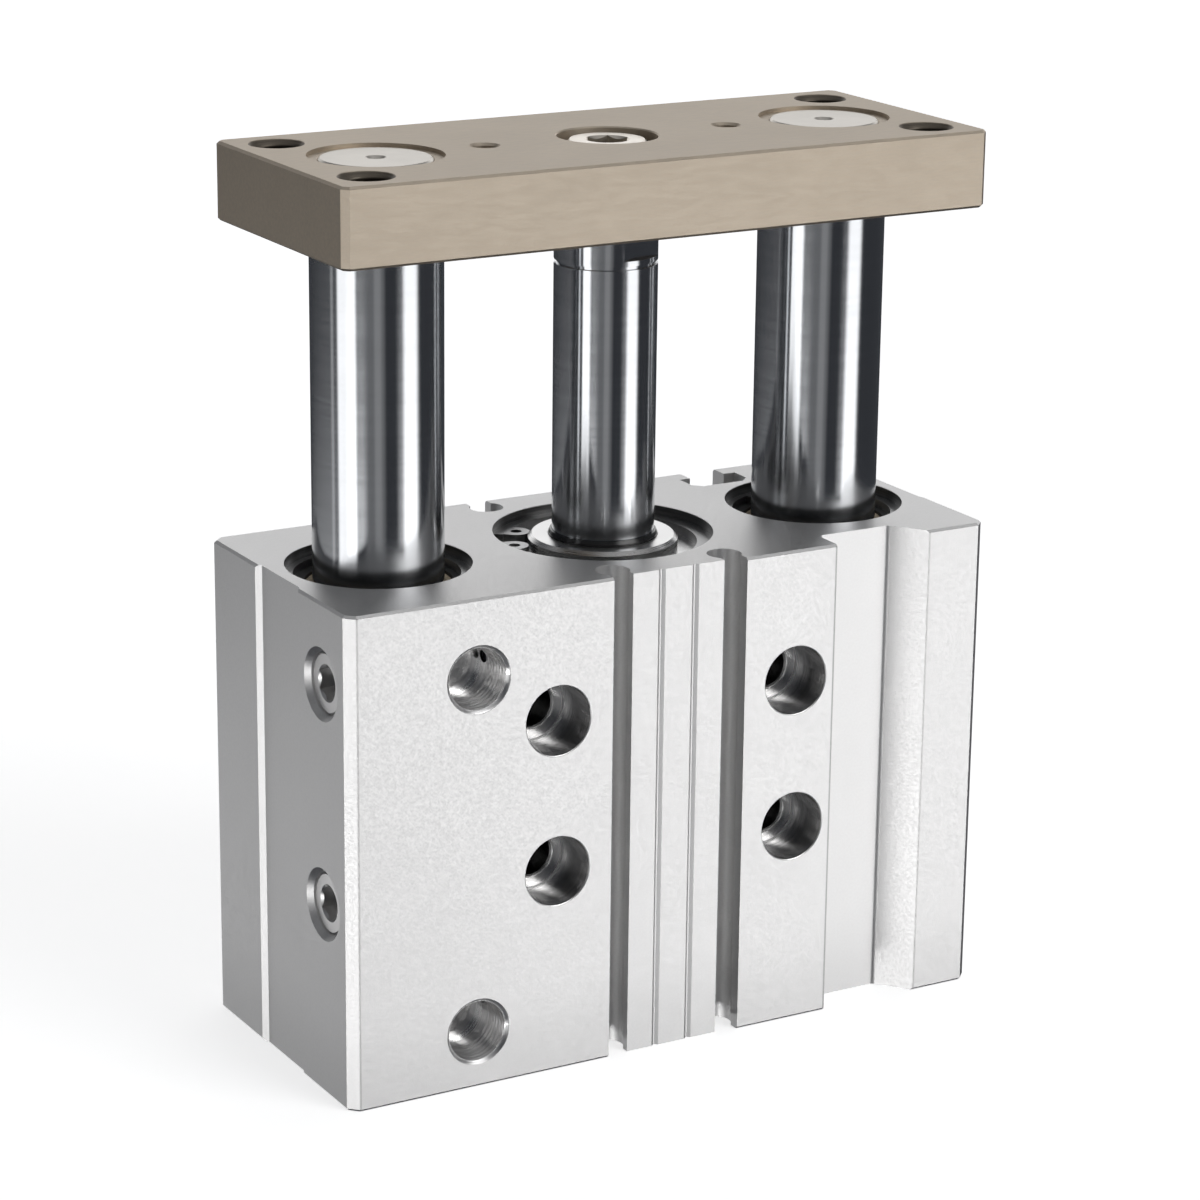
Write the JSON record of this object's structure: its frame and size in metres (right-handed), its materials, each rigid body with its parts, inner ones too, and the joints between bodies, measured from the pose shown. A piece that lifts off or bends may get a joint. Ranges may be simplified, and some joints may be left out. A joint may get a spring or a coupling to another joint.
{
  "type": "guided pneumatic cylinder",
  "caption": "Compact guided pneumatic cylinder: an extruded body with a piston rod between guide rods that carry an end plate.",
  "frame": {"origin": "centre of the body's underside", "axes": "+Z along the stroke, towards the end plate; X along the row of rods; -Y out of the port face"},
  "size_m": [0.112, 0.048, 0.1395],
  "materials": {
    "anodised_aluminium": "satin clear anodised, fine bead texture",
    "turned_aluminium": "turned, bright",
    "plate_finish": "matt warm grey plating over faint grinding grain",
    "hard_chrome": "ground and hard chromed",
    "screw_steel": "nickel plated steel",
    "plug_steel": "bright plated steel",
    "ring_steel": "phosphated spring steel",
    "bronze": "bearing bronze",
    "black_rubber": "nitrile rubber",
    "urethane": "amber urethane",
    "dark_resin": "moulded resin",
    "magnet": "plastic bonded magnet",
    "felt": "oiled wool felt"
  },
  "bodies": {
    "housing": {"body": "anodised_aluminium", "rod_cover": "turned_aluminium", "head_cover": "turned_aluminium", "rod_bush": "bronze", "rod_seal": "black_rubber", "rod_cover_gasket": "black_rubber", "head_cover_gasket": "black_rubber", "rod_cover_circlip": "ring_steel", "head_cover_circlip": "ring_steel", "port_plug_upper": "plug_steel", "port_plug_lower": "plug_steel", "guide_bush_upper_left": "bronze", "guide_bush_lower_left": "bronze", "guide_felt_holder_left": "dark_resin", "guide_felt_left": "felt", "guide_circlip_left": "ring_steel", "guide_bush_upper_right": "bronze", "guide_bush_lower_right": "bronze", "guide_felt_holder_right": "dark_resin", "guide_felt_right": "felt", "guide_circlip_right": "ring_steel"},
    "carriage": {"end_plate": "plate_finish", "plate_bolt": "screw_steel", "piston_rod": "hard_chrome", "guide_rod_left": "hard_chrome", "guide_rod_right": "hard_chrome", "piston": "turned_aluminium", "piston_seal": "black_rubber", "piston_wear_ring": "dark_resin", "piston_magnet": "magnet", "piston_bumper_upper": "urethane", "piston_bumper_lower": "urethane"}
  },
  "joints": [
    {"name": "stroke", "type": "slide", "parent": "housing", "child": "carriage", "axis": [0, 0, 1], "range_m": [-0.04, 0]}
  ]
}
